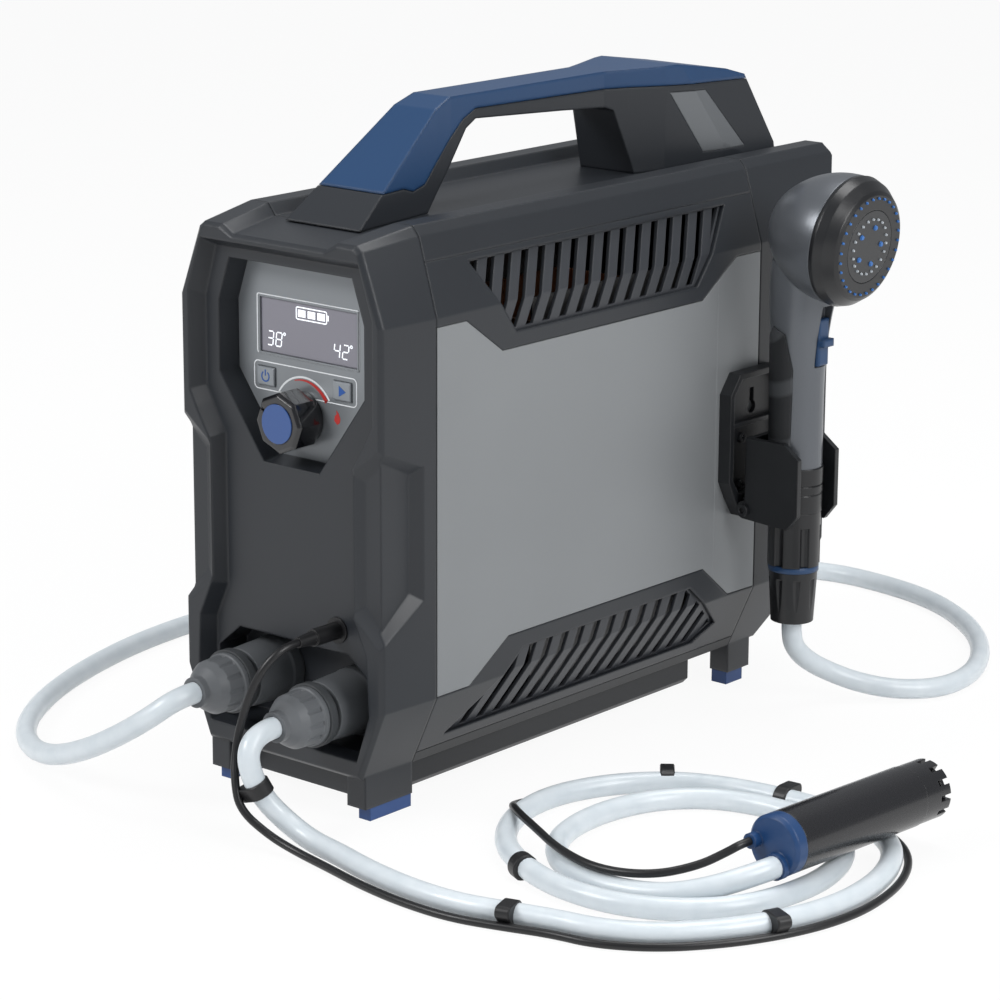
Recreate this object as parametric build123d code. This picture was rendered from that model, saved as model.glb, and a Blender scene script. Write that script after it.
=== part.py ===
from build123d import *
import math
import os

# Portable gas shower: heater unit with carry handle, handset in its holder, hoses and pump.
# Frame: +Z up, Z = 0 on the floor, front with the controls towards -Y, handset side towards +X.

os.makedirs("parts", exist_ok=True)

# Driving dimensions of the case, mm
LENGTH = 469.0
HALF_W = 85.0
RIM_HALF_W = 82.9
SIDE_TOP_Z = 308.7
SIDE_LOW_Z = 74.0
SHOULDER_X = 71.0
SHOULDER_Z = 356.0
CREST_Z = 362.0
CREST_OUT_X = 66.0
CREST_IN_X = 52.0
DECK_X = 46.0
DECK_Z = 354.5
UNDER_X = 64.6
UNDER_Z = 28.6
FRONT_SEAM_Y = -188.0
REAR_SEAM_Y = 134.0
SEAM_GAP = 0.4
WALL = 3.0
EDGE = 2.5

# Front cap
RECESS_DEPTH = 10.5
FACE_T = 3.0
PLATE_SETBACK = 15.0
PLATE_T = 3.0
COLLAR_T = 2.0
HEX_DEPTH = 4.65
POCKET_DEPTH = 24.0

# Rear cap
REAR_CORNER = 22.0
REAR_HEEL_Y = 71.0
REAR_HEEL_Z = 82.0

# Side panels and grilles
PANEL_T = 1.4
PANEL_GAP = 0.3
TOP_SPLIT_Z = 341.0
LOW_SPLIT_Z = 36.0
SLAT_PITCH = 16.0
SLAT_GAP = 7.0
SLAT_LEAN = 26.0
GRILLE_T = 2.5

# Handle
GRIP_HALF_W = 15.0
GRIP_TOP_Z = 422.0
GRIP_LOW_Z = 403.0
CAP_SPLIT_Z = 411.5
HANDLE_BASE_Z = DECK_Z

# Controls
LCD_W = 80.0
LCD_H = 34.0
LCD_X = 1.0
LCD_Z = 292.0
BUTTON_W = 15.0
BUTTON_H = 12.0
BUTTON_Z = 260.0
POWER_X = -34.0
START_X = 29.0
BUTTON_TRAVEL = 1.2
BUTTON_FIT = 0.25
KNOB_X = -3.0
KNOB_Z = 239.0
KNOB_R = 19.0
KNOB_L = 24.0
SPINDLE_R = 3.0
SPINDLE_FIT = 0.05

# Hose ports
PORT_X = 33.5
SHOWER_PORT_Z = 74.0
PUMP_PORT_Z = 66.5
SLEEVE_R = 20.0
SLEEVE_L = 37.0
SLEEVE_TRAVEL = 3.5
PORT_CORE_R = 16.0
NUT_R = 17.5
HOSE_D = 13.5
CABLE_D = 5.0

# Handset and holder
HAND_X = 125.3
HAND_Y = 123.0
GRIP_RX = 18.6
GRIP_RY = 17.4
HEAD_R = 42.5
HEAD_X = 161.0
HEAD_Z = 321.5
HEAD_TILT = 7.0
RING_T = 17.0
STEM_R = 8.0
STEM_FIT = 0.08
BOWL_DEPTH = 54.0
FORK_GAP = 1.6
FORK_T = 4.0
PIVOT_X = 100.6
PIVOT_Z = 137.0
PIVOT_R = 2.6
PIVOT_FIT = 0.1
SCREW_R = 1.7

# Pump
PUMP_R = 18.75
PUMP_L = 141.0
PUMP_CAP_L = 9.0
STRAINER_L = 22.0
PUMP_X = 324.2
PUMP_Y = -170.0
PUMP_YAW = -4.46

# Feet
LEG_Z = 9.0
LEG_IN_X = 50.0
LEG_OUT_X = 65.0
LEG_L = 24.0
SKID_Z = 9.5

front_y = -LENGTH / 2
rear_y = LENGTH / 2
face_y = front_y + RECESS_DEPTH
plate_y = face_y + PLATE_SETBACK
pocket_y = face_y + POCKET_DEPTH


# Helpers for plain shapes between limits
def block(x, y, z):
    size = (x[1] - x[0], y[1] - y[0], z[1] - z[0])
    middle = ((x[0] + x[1]) / 2, (y[0] + y[1]) / 2, (z[0] + z[1]) / 2)
    return Pos(*middle) * Box(*size)


def rod_y(x, z, r, y0, y1):
    return Pos(x, (y0 + y1) / 2, z) * Rot(90, 0, 0) * Cylinder(r, abs(y1 - y0))


def rod_x(y, z, r, x0, x1):
    return Pos((x0 + x1) / 2, y, z) * Rot(0, 90, 0) * Cylinder(r, abs(x1 - x0))


def rod_z(x, y, r, z0, z1):
    return Pos(x, y, (z0 + z1) / 2) * Cylinder(r, abs(z1 - z0))


# A face in an XZ plane at y, and one in a YZ plane at x
def face_xz(points, y):
    return make_face(Polyline([(x, y, z) for x, z in points], close=True))


def face_yz(points, x):
    return make_face(Polyline([(x, y, z) for y, z in points], close=True))


def prism_y(points, y0, y1):
    return extrude(face_xz(points, y0), amount=y1 - y0, dir=(0, 1, 0))


def prism_x(points, x0, x1):
    return extrude(face_yz(points, x0), amount=x1 - x0, dir=(1, 0, 0))


def mirrored(points):
    return points + [(-x, z) for x, z in reversed(points)]


def mirror_x(shape):
    return mirror(shape, about=Plane.YZ)


# Half sections of the case, from the deck down to the underside, moved in by a wall
def body_half(inset=0.0):
    i = inset
    return [
        (DECK_X + 0.9 * i, DECK_Z - i),
        (CREST_IN_X + 0.6 * i, CREST_Z - i),
        (CREST_OUT_X - 0.6 * i, CREST_Z - i),
        (SHOULDER_X - i, SHOULDER_Z - 0.6 * i),
        (HALF_W - i, SIDE_TOP_Z - 0.1 * i),
        (HALF_W - i, SIDE_LOW_Z + 0.2 * i),
        (UNDER_X - 0.6 * i, UNDER_Z + i),
    ]


def rim_half(inset=0.0):
    i = inset
    return [
        (38.0, 350.5 - i),
        (47.0 + 0.5 * i, 355.5 - i),
        (62.0 - 0.5 * i, 355.5 - i),
        (66.5 - i, 352.0 - 0.6 * i),
        (RIM_HALF_W - i, SIDE_TOP_Z),
        (RIM_HALF_W - 0.4 - i, SIDE_LOW_Z),
        (64.0 - 0.6 * i, 28.2 + i),
    ]


def case_solid(inset, y0, y1):
    return prism_y(mirrored(body_half(inset)), y0, y1)


def window_half(grow):
    g = grow
    return [
        (50.0 + 0.7 * g, 333.0 + g),
        (59.3 + g, 306.0 + 0.4 * g),
        (59.3 + g, 262.0 - 0.3 * g),
        (22.5 + 0.7 * g, 211.5 - g),
    ]


def port_half(grow):
    g = grow
    return [
        (45.5 + 0.5 * g, 102.0 + g),
        (63.5 + g, 87.0 + 0.4 * g),
        (63.5 + g, 70.0),
        (57.0 + 0.7 * g, 42.0 - g),
    ]


# Front cap: tapering shell, rim, recessed face, control window, port pocket, corner hexagons
def corner_hexagon():
    x, y = RIM_HALF_W - 0.2, front_y
    side = [(y - 1, 239), (y + 37, 222), (y + 37, 137), (y - 1, 110)]
    side_floor = [(y - 1, 230), (y + 29, 216), (y + 29, 143), (y - 1, 119)]
    front = [(x + 1, 239), (x - 25, 219), (x - 25, 132), (x + 1, 110)]
    front_floor = [(x + 1, 230), (x - 17, 214), (x - 17, 138), (x + 1, 119)]
    side_cut = loft([face_yz(side, x + 3), face_yz(side_floor, x - HEX_DEPTH)], ruled=True)
    front_cut = loft(
        [face_xz(front, y - 0.1), face_xz(front_floor, y + HEX_DEPTH)], ruled=True
    )
    return side_cut + front_cut


def build_front_cap():
    y_back = FRONT_SEAM_Y - SEAM_GAP / 2
    outer = loft(
        [
            face_xz(mirrored(rim_half(EDGE)), front_y),
            face_xz(mirrored(rim_half()), front_y + EDGE),
            face_xz(mirrored(body_half()), y_back),
        ],
        ruled=True,
    )
    recess_rim = mirrored(
        [(65, 346), (76, 313), (76, 250), (70.5, 239), (60, 222), (60, 130), (70, 108),
         (72, 70), (62, 40)]
    )
    recess_face = mirrored(
        [(61, 340), (70.5, 308), (70.5, 252), (66, 243), (55, 224), (55, 128), (65, 106),
         (66, 70), (58, 44)]
    )
    recess = loft(
        [face_xz(recess_rim, front_y - 0.5), face_xz(recess_face, face_y)], ruled=True
    )
    hollow_y = face_y + FACE_T
    hollow = prism_y(
        [(-58, 345), (58, 345), (74, 306), (74, 76), (58, 33), (-58, 33), (-74, 76), (-74, 306)],
        hollow_y,
        y_back + 1,
    )
    cap = outer - recess - hollow
    for hexagon in (corner_hexagon(), mirror_x(corner_hexagon())):
        cap -= hexagon
    # Window collar runs back to the control plate, and the pocket holds the hose ports
    collar = prism_y(mirrored(window_half(COLLAR_T)), face_y + 1, plate_y)
    pocket = prism_y(mirrored(port_half(COLLAR_T)), face_y + 1, pocket_y + FACE_T)
    cap += collar
    cap += pocket
    window = loft(
        [
            face_xz(mirrored(window_half(0.8)), face_y - 0.6),
            face_xz(mirrored(window_half(-2.0)), plate_y + 1),
        ],
        ruled=True,
    )
    cap -= window
    cap -= prism_y(mirrored(port_half(0)), face_y - 1, pocket_y)
    for side, z in ((-1, SHOWER_PORT_Z), (1, PUMP_PORT_Z)):
        cap -= rod_y(side * PORT_X, z, PORT_CORE_R, pocket_y - 1, pocket_y + FACE_T + 1)
    cap -= rod_y(DC_X, DC_Z, DC_R, face_y - 1, hollow_y + 1)
    # Legs under the front corners, each stopping above its foot
    leg = block((LEG_IN_X, LEG_OUT_X), (front_y + 4, y_back), (LEG_Z, UNDER_Z + 11))
    cap += leg
    cap += mirror_x(leg)
    return cap + block((-LEG_IN_X, LEG_IN_X), (front_y + 18, y_back), (SKID_Z, UNDER_Z + 4))


DC_X = 37.0
DC_Z = 116.0
DC_R = 6.5


# Rear cap: deeper shell with rounded corners in plan and a raised heel
def build_rear_cap():
    y0 = REAR_SEAM_Y + SEAM_GAP / 2
    blank = case_solid(0, y0, rear_y)
    plan = [
        (HALF_W + 5, y0 - 1),
        (HALF_W + 5, rear_y - REAR_CORNER),
        (HALF_W, rear_y - REAR_CORNER),
        (HALF_W - REAR_CORNER * 0.72, rear_y),
    ]
    plan_face = make_face(
        Polyline([(x, y, 0) for x, y in plan + [(-x, y) for x, y in reversed(plan)]], close=True)
    )
    plan_solid = extrude(plan_face, amount=400, dir=(0, 0, 1))
    side = [
        (y0 - 1, 0),
        (rear_y - REAR_HEEL_Y, 0),
        (rear_y - REAR_HEEL_Y, UNDER_Z),
        (rear_y - 8, UNDER_Z + REAR_HEEL_Z),
        (rear_y, UNDER_Z + REAR_HEEL_Z + 20),
        (rear_y, 346),
        (rear_y - 7, 361),
        (rear_y - 12, 400),
        (y0 - 1, 400),
    ]
    cap = blank & plan_solid & prism_x(side, -100, 100)
    inner = case_solid(WALL, y0 - 1, rear_y - 30) & prism_x(
        [
            (y0 - 1, 0),
            (rear_y - REAR_HEEL_Y - WALL, 0),
            (rear_y - REAR_HEEL_Y - WALL, UNDER_Z + WALL),
            (rear_y - 30, 90),
            (rear_y - 30, 400),
            (y0 - 1, 400),
        ],
        -100,
        100,
    )
    cap -= inner
    cap -= block((-50, 50), (rear_y - 31, rear_y - WALL), (120, 330))
    # Gas inlet passes the rear wall in a round recess
    cap -= rod_y(GAS_X, GAS_Z, 16, rear_y - GAS_RECESS, rear_y + 1)
    cap -= rod_y(GAS_X, GAS_Z, GAS_R, rear_y - 5, rear_y + 1)
    leg = block((LEG_IN_X, LEG_OUT_X), (y0, y0 + LEG_L), (LEG_Z, UNDER_Z + 11))
    cap += leg
    return cap + mirror_x(leg)


GAS_X = 30.0
GAS_Z = 190.0
GAS_R = 8.2
GAS_RECESS = 1.6
GAS_STUB_R = 7.0
GAS_STUB_L = 13.0


# Middle of the case: top cover, two side shells and the base tray share one section
def middle_ring(inset0, inset1):
    y0, y1 = FRONT_SEAM_Y + SEAM_GAP / 2, REAR_SEAM_Y - SEAM_GAP / 2
    return case_solid(inset0, y0, y1) - case_solid(inset1, y0 - 1, y1 + 1)


def build_top_cover():
    cover = middle_ring(0, WALL) & block((-90, 90), (-200, 150), (TOP_SPLIT_Z + 0.15, 400))
    return cover


PANEL = [
    (-187.7, 303.3), (-161.0, 303.3), (-127.5, 279.8), (71.8, 279.8), (107.5, 303.6),
    (133.7, 303.6), (133.7, 74.6), (105.0, 75.2), (77.0, 98.3), (-121.0, 98.3),
    (-158.0, 74.6), (-187.7, 74.6),
]
UPPER_VENT = [(-150.5, 337.0), (104.0, 337.0), (66.0, 289.5), (-114.5, 289.5)]
LOWER_VENT = [(-106.0, 88.0), (64.0, 88.0), (104.0, 54.0), (86.0, 43.0), (-166.0, 43.0)]


def grown(points, grow):
    return offset(face_yz(points, 0), amount=grow, kind=Kind.INTERSECTION)


def side_band(points, grow):
    return extrude(grown(points, grow), amount=100, dir=(1, 0, 0))


def build_side_shell():
    shell = middle_ring(0, WALL) & block((0, 90), (-200, 150), (LOW_SPLIT_Z, TOP_SPLIT_Z))
    pocket = prism_x(PANEL, HALF_W - PANEL_T, HALF_W + 1)
    shell -= pocket
    for vent in (UPPER_VENT, LOWER_VENT):
        shell -= side_band(vent, 0)
    # Two bosses behind the panel carry the handset bracket's screws
    for z in BRACKET_SCREW_Z:
        shell += rod_x(BRACKET_SCREW_Y, z, 5, 72, HALF_W - PANEL_T)
        shell -= rod_x(BRACKET_SCREW_Y, z, SCREW_R, 70, 90)
    return shell


BRACKET_SCREW_Y = 112.0
BRACKET_SCREW_Z = (150.0, 182.0)


def build_panel():
    panel = extrude(grown(PANEL, -PANEL_GAP), amount=PANEL_T, dir=(1, 0, 0))
    panel = Pos(HALF_W - PANEL_T, 0, 0) * panel
    for z in BRACKET_SCREW_Z:
        panel -= rod_x(BRACKET_SCREW_Y, z, SCREW_R + 0.4, 70, 90)
    return panel


# A grille is a strip of the case section behind its opening, cut by leaning slots
def build_grille(vent):
    y0, y1 = FRONT_SEAM_Y + SEAM_GAP / 2, REAR_SEAM_Y - SEAM_GAP / 2
    strip = case_solid(WALL, y0, y1) - case_solid(WALL + GRILLE_T, y0 - 1, y1 + 1)
    grille = strip & side_band(vent, 5)
    limit = side_band(vent, -1.5)
    low = min(z for y, z in vent)
    high = max(z for y, z in vent)
    first = min(y for y, z in vent)
    last = max(y for y, z in vent)
    lean = math.tan(math.radians(SLAT_LEAN)) * (high - low)
    count = int((last - first + lean) / SLAT_PITCH) + 1
    slots = []
    for i in range(count):
        y = first - lean + 6 + i * SLAT_PITCH
        slots.append(
            prism_x([(y, low), (y + SLAT_GAP, low), (y + lean + SLAT_GAP, high), (y + lean, high)],
                    50, 100)
        )
    return grille - (Compound(children=slots) & limit)


def build_base_tray():
    tray = middle_ring(0, WALL) & block((-90, 90), (-200, 150), (0, LOW_SPLIT_Z - 0.3))
    skid = prism_y(
        mirrored([(60, UNDER_Z + 0.5), (60, SKID_Z + 4), (56, SKID_Z)]),
        FRONT_SEAM_Y + SEAM_GAP / 2,
        REAR_SEAM_Y - 38,
    )
    return tray + skid


# Handle: front leg, grip and flared rear leg in one moulding, with a cap over the top
def handle_section(half_w, y, z_low, z_high, depth):
    w = half_w
    points = [(-w, 0), (w, 0), (w, depth), (-w, depth)]
    return points


def plan_wedge(stations):
    left = [(-w, y, 0) for y, w in stations]
    right = [(w, y, 0) for y, w in reversed(stations)]
    return extrude(make_face(Polyline(left + right, close=True)), amount=500, dir=(0, 0, 1))


HANDLE_SIDE = [
    (-195.5, HANDLE_BASE_Z + 0.2), (-111.5, 417.0), (-96.0, GRIP_TOP_Z + 1.0),
    (70.0, GRIP_TOP_Z + 1.0), (110.0, GRIP_TOP_Z + 1.5), (160.0, 416.0), (180.0, 410.5),
    (233.0 - 27.0, HANDLE_BASE_Z + 8.0), (233.0 - 27.0, HANDLE_BASE_Z + 0.2),
]
HAND_OPENING = [
    (-122.0, HANDLE_BASE_Z - 1.0), (-96.0, 381.0), (-81.0, 402.0), (-72.0, 407.0),
    (11.0, 402.5), (56.0, 399.5), (62.0, 397.0), (78.0, HANDLE_BASE_Z - 1.0),
]
HANDLE_PLAN = [
    (-200.0, 31.0), (-111.0, 17.0), (-95.0, GRIP_HALF_W), (55.0, GRIP_HALF_W),
    (100.0, 30.0), (150.0, 40.0), (210.0, 44.0),
]


def handle_blank():
    blank = prism_x(HANDLE_SIDE, -60, 60) & plan_wedge(HANDLE_PLAN)
    # The rear leg spreads towards its foot
    flare_x = 14.0
    cut = prism_y(
        [(30, GRIP_TOP_Z + 20), (60, GRIP_TOP_Z + 20), (60, 340), (30 + flare_x, 340)], 60, 215
    )
    return blank - cut - mirror_x(cut)


CAP_LINE = [
    (-260.0, 373.5), (-147.0, 373.5), (-137.0, 370.5), (-124.0, 373.0), (-84.0, 408.0),
    (-72.0, 413.5), (73.0, 411.5), (156.0, 408.5), (260.0, 404.5), (260.0, 470.0), (-260.0, 470.0),
]


def build_handle():
    handle = handle_blank() - prism_x(HAND_OPENING, -60, 60)
    upper = prism_x(CAP_LINE, -60, 60)
    core = handle - upper
    cap = handle & upper
    groove = prism_x([(p[0], p[1] - 0.4) for p in CAP_LINE], -60, 60) - upper
    core -= groove
    # Silver inserts are let into both sides of the rear leg
    outline = [(104, 405.5), (136, 404.5), (173, 364.0), (133, 364.0)]
    insert_zone = prism_x(outline, 20, 60)
    shallow = handle_blank()
    inner = Pos(-1.6, 0, 0) * shallow
    insert = (core & insert_zone) - inner
    core -= insert_zone - inner
    core -= mirror_x(insert_zone - inner)
    return core, cap, insert, mirror_x(insert)


# Feet: blue pads under the four legs
def build_feet():
    feet = []
    front = block((54, 63.3), (front_y + 10, front_y + 47), (0, LEG_Z))
    rear = block((51, 63.3), (REAR_SEAM_Y + 1, REAR_SEAM_Y + 19), (0, LEG_Z))
    for foot in (front, rear):
        feet += [foot, mirror_x(foot)]
    return Compound(children=feet)


# Controls
def build_control_panel():
    y0, y1 = plate_y, plate_y + PLATE_T
    plate = prism_y(mirrored(window_half(COLLAR_T)), y0, y1)
    plate -= block((LCD_X - LCD_W / 2, LCD_X + LCD_W / 2), (y0 - 1, y1 + 1),
                   (LCD_Z - LCD_H / 2, LCD_Z + LCD_H / 2))
    for x in (POWER_X, START_X):
        plate -= block((x - BUTTON_W / 2, x + BUTTON_W / 2), (y0 - 1, y1 + 1),
                       (BUTTON_Z - BUTTON_H / 2, BUTTON_Z + BUTTON_H / 2))
    plate -= rod_y(KNOB_X, KNOB_Z, SPINDLE_R + SPINDLE_FIT, y0 - 1, y1 + 1)
    return plate


def build_lcd():
    w, h, g = LCD_W / 2, LCD_H / 2, 0.1
    glass = block((LCD_X - w + g, LCD_X + w - g), (plate_y + 0.6, plate_y + PLATE_T),
                  (LCD_Z - h + g, LCD_Z + h - g))
    frame = block((LCD_X - w - 1.2, LCD_X + w + 1.2), (plate_y - 0.6, plate_y),
                  (LCD_Z - h - 1.2, LCD_Z + h + 1.2))
    frame -= block((LCD_X - w, LCD_X + w), (plate_y - 2, plate_y + 1),
                   (LCD_Z - h, LCD_Z + h))
    return glass, frame


def build_button(x):
    f = BUTTON_FIT
    cap = block((x - BUTTON_W / 2 + f, x + BUTTON_W / 2 - f), (plate_y - 1.6, plate_y + 4.4),
                (BUTTON_Z - BUTTON_H / 2 + f, BUTTON_Z + BUTTON_H / 2 - f))
    cap = chamfer(cap.faces().sort_by(Axis.Y)[0].edges(), 0.6)
    flange = block((x - BUTTON_W / 2 - 1, x + BUTTON_W / 2 + 1), (plate_y + 3.4, plate_y + 4.4),
                   (BUTTON_Z - BUTTON_H / 2 - 1, BUTTON_Z + BUTTON_H / 2 + 1))
    return cap + flange


def build_knob():
    y_face = plate_y - KNOB_L
    skirt = rod_y(KNOB_X, KNOB_Z, KNOB_R - 3, plate_y - 6, plate_y - 0.5)
    octagon = Pos(KNOB_X, (y_face + plate_y - 6) / 2, KNOB_Z) * Rot(90, 0, 0)
    body = octagon * extrude(RegularPolygon(KNOB_R, 8), amount=(KNOB_L - 6) / 2, both=True)
    knob = chamfer(body.faces().sort_by(Axis.Y)[0].edges(), 2.0) + skirt
    knob -= rod_y(KNOB_X, KNOB_Z, 12.2, y_face - 1, y_face + 1.5)
    knob -= rod_y(KNOB_X, KNOB_Z, SPINDLE_R, y_face + 4, plate_y + 1)
    notch = Pos(KNOB_X, y_face, KNOB_Z) * Rot(0, -59, 0) * Pos(0, 0, KNOB_R - 3) * Box(2.4, 8, 8)
    knob -= notch
    badge = rod_y(KNOB_X, KNOB_Z, 12.2, y_face - 0.6, y_face + 1.5)
    spindle = rod_y(KNOB_X, KNOB_Z, SPINDLE_R, y_face + 4, plate_y + 14)
    return knob, badge, spindle


def build_regulator():
    y = plate_y + PLATE_T
    body = block((KNOB_X - 16, KNOB_X + 16), (y + 3.0, y + 26), (KNOB_Z - 14, KNOB_Z + 10))
    neck = rod_y(KNOB_X, KNOB_Z, 7, y, y + 4)
    outlet = rod_z(KNOB_X, y + 15, 5, KNOB_Z - 30, KNOB_Z - 10)
    bore = rod_y(KNOB_X, KNOB_Z, SPINDLE_R + SPINDLE_FIT, y - 1, plate_y + 14.5)
    return body + neck + outlet - bore


def build_board():
    y = plate_y + PLATE_T
    board = block((-46, 46), (y + 8.0, y + 9.6), (251, 312))
    for x in (-43, 43):
        for z in (273, 309):
            board += rod_y(x, z, 2.5, y, y + 8.2)
    for x in (POWER_X, START_X):
        board += rod_y(x, BUTTON_Z, 3, y + 3.0, y + 8.2)
    return board


# Hose port: core fixed in the pocket, spring sleeve over it, then nut on the hose
def build_port(x, z):
    y = pocket_y
    core = rod_y(x, z, PORT_CORE_R, y - SLEEVE_L - 10, y + FACE_T)
    core += rod_y(x, z, PORT_CORE_R + 4, y - SLEEVE_L - 10, y - SLEEVE_L - SLEEVE_TRAVEL - 0.8)
    core += rod_y(x, z, PORT_CORE_R - 3, y + FACE_T, y + FACE_T + 12)
    core -= rod_y(x, z, HOSE_D / 2 - 1.5, y - SLEEVE_L - 11, y + FACE_T + 13)
    return core


def build_sleeve(x, z):
    y = pocket_y
    outer = [(PORT_CORE_R + 0.08, 0.0), (SLEEVE_R + 0.5, 0.0), (SLEEVE_R + 0.5, 8.0),
             (SLEEVE_R, 10.0), (SLEEVE_R - 1.2, SLEEVE_L), (PORT_CORE_R + 0.08, SLEEVE_L)]
    profile = make_face(Polyline([(r, -d, 0) for r, d in outer], close=True))
    sleeve = revolve(profile, axis=Axis.Y)
    return Pos(x, y - 0.4, z) * sleeve


def build_hose_nut(x, z):
    y = pocket_y - SLEEVE_L - 10
    outline = [(HOSE_D / 2, 0.0), (NUT_R + 1.0, 0.0), (NUT_R + 1.0, 3.0), (NUT_R, 3.5),
               (NUT_R - 0.6, 15.0), (NUT_R - 3.5, 20.0), (NUT_R - 7.0, 24.0), (9.6, 25.0),
               (9.6, 29.5), (HOSE_D / 2, 29.5)]
    profile = make_face(Polyline([(r, -d, 0) for r, d in outline], close=True))
    nut = revolve(profile, axis=Axis.Y)
    flutes = []
    for i in range(12):
        flute = Rot(0, i * 30, 0) * Pos(NUT_R + 1.2, -10.5, 0) * Rot(90, 0, 0) * Cylinder(2.2, 13)
        flutes.append(flute)
    nut -= Compound(children=flutes)
    return Pos(x, y, z) * nut


port_exit_y = pocket_y - SLEEVE_L - 10 - 29.5


# DC socket in the front face and the plug in it
def build_dc():
    socket = rod_y(DC_X, DC_Z, DC_R + 1.6, face_y - 1.2, face_y)
    socket += rod_y(DC_X, DC_Z, DC_R, face_y, face_y + 16)
    socket -= rod_y(DC_X, DC_Z, 4.0, face_y - 2, face_y + 13)
    plug = rod_y(DC_X, DC_Z, 5.4, face_y - 22, face_y - 1.2)
    plug += rod_y(DC_X, DC_Z, 4.0, face_y - 2, face_y + 12)
    outline = [(0.0, 0.0), (4.4, 0.0), (3.2, 13.0), (0.0, 13.0)]
    profile = make_face(Polyline([(r, -d, 0) for r, d in outline], close=True))
    relief = Pos(DC_X, face_y - 22, DC_Z) * revolve(profile, axis=Axis.Y)
    return socket, plug + relief


# Works inside the case
def build_chassis():
    t = 1.5
    x, z0 = 60.0, UNDER_Z + WALL
    floor = block((-x, x), (-150, 120), (z0, z0 + t))
    plate = floor
    for side in (-1, 1):
        wall = block((x - t, x), (-70, 100), (z0, 300))
        wall -= block((x - t - 1, x + 1), (-45, 75), (z0 + 50, z0 + 80))
        plate += wall if side > 0 else mirror_x(wall)
    return plate


def build_exchanger():
    x = 58.5
    tank = block((-x + 6, x - 6), (-60, 92), (180, 236))
    fins = [block((-x, x), (y, y + 1.2), (176, 240)) for y in range(-60, 95, 13)]
    for fin in fins:
        tank += fin
    hood = block((-x + 6, x - 6), (-60, 92), (236, 282)) - block((-x + 9, x - 9), (-57, 89), (235, 283))
    return tank + hood


def build_burner():
    x = 58.5
    box = block((-x, x), (-60, 92), (120, 124))
    for y in range(-52, 90, 20):
        box += block((-x + 8, x - 8), (y, y + 8), (124, 150))
    box += rod_y(0, 112, 9, -60, 92)
    return box


def build_battery():
    z0 = UNDER_Z + WALL + 1.5
    return chamfer(block((-45, 45), (-20, 96), (z0, z0 + 44)).edges().filter_by(Axis.Z), 3)


def pipe(points, d, radius):
    path = FilletPolyline(*points, radius=radius)
    start = Plane(origin=path @ 0, z_dir=path % 0)
    return sweep(start * Circle(d / 2), path=path)


def build_water_pipes():
    y = pocket_y + FACE_T + 12
    cold = pipe([(PORT_X, y, PUMP_PORT_Z), (PORT_X, -110, PUMP_PORT_Z), (PORT_X, -110, 190),
                 (PORT_X, -60, 190)], 12, 14)
    hot = pipe([(-PORT_X, y, SHOWER_PORT_Z), (-PORT_X, -100, SHOWER_PORT_Z),
                (-PORT_X, -100, 225), (-PORT_X, -60, 225)], 12, 14)
    return Compound(children=[cold, hot])


def build_gas_line():
    y = plate_y + PLATE_T + 15
    feed = pipe([(KNOB_X, y, KNOB_Z - 30), (KNOB_X, y, 112), (KNOB_X, -60, 112)], 8, 12)
    stub = rod_y(GAS_X, GAS_Z, GAS_R - 0.1, rear_y - 24, rear_y - GAS_RECESS)
    stub += rod_y(GAS_X, GAS_Z, GAS_STUB_R, rear_y - GAS_RECESS, rear_y + GAS_STUB_L)
    stub += rod_y(GAS_X, GAS_Z, 13, rear_y - 10, rear_y - 5)
    stub -= rod_y(GAS_X, GAS_Z, 3, rear_y - 12, rear_y + GAS_STUB_L + 1)
    supply = pipe([(GAS_X, rear_y - 24, GAS_Z), (GAS_X, 165, GAS_Z), (68, 125, 205),
                   (68, -130, 205), (45, y, KNOB_Z - 2), (KNOB_X + 16, y, KNOB_Z - 2)], 8, 12)
    return Compound(children=[feed, supply]), stub


# Handset bracket on the case side, and the fork that holds the handset
def build_bracket():
    x0 = HALF_W
    outline = [(-31, 155), (-31, 214), (-21, 227), (21, 227), (31, 214), (31, 155), (24, 142),
               (16, 130), (-16, 130), (-24, 142)]
    points = [(HAND_Y + y, z) for y, z in outline]
    inner = [(-27, 156), (-27, 213), (-19, 223), (19, 223), (27, 213), (27, 156), (20, 146),
             (-20, 146)]
    inner_points = [(HAND_Y + y, z) for y, z in inner]
    tray = prism_x(points, x0, x0 + 9.5) - prism_x(inner_points, x0 + 3, x0 + 11)
    tray += block((x0 + 2, x0 + 8), (HAND_Y - 26, HAND_Y + 26), (191, 194))
    lugs = []
    for side in (-1, 1):
        y0 = HAND_Y + side * 12 - 4
        lug = block((x0, PIVOT_X), (y0, y0 + 8), (PIVOT_Z - 6, PIVOT_Z + 6))
        lug += rod_y(PIVOT_X, PIVOT_Z, 6, y0, y0 + 8)
        lugs.append(lug)
    tray += lugs[0]
    tray += lugs[1]
    tray -= rod_y(PIVOT_X, PIVOT_Z, PIVOT_R + PIVOT_FIT, HAND_Y - 40, HAND_Y + 40)
    keyhole = rod_x(HAND_Y, 201, 4.2, x0 - 1, x0 + 5) + block(
        (x0 - 1, x0 + 5), (HAND_Y - 2.2, HAND_Y + 2.2), (201, 214)
    )
    tray -= keyhole
    for side in (-1, 1):
        tray -= block((x0 - 1, x0 + 5), (HAND_Y + side * 21 - 1.5, HAND_Y + side * 21 + 1.5),
                      (150, 176))
    for z in BRACKET_SCREW_Z:
        tray -= rod_x(BRACKET_SCREW_Y, z, SCREW_R + 0.4, x0 - 1, x0 + 5)
    return tray


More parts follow.
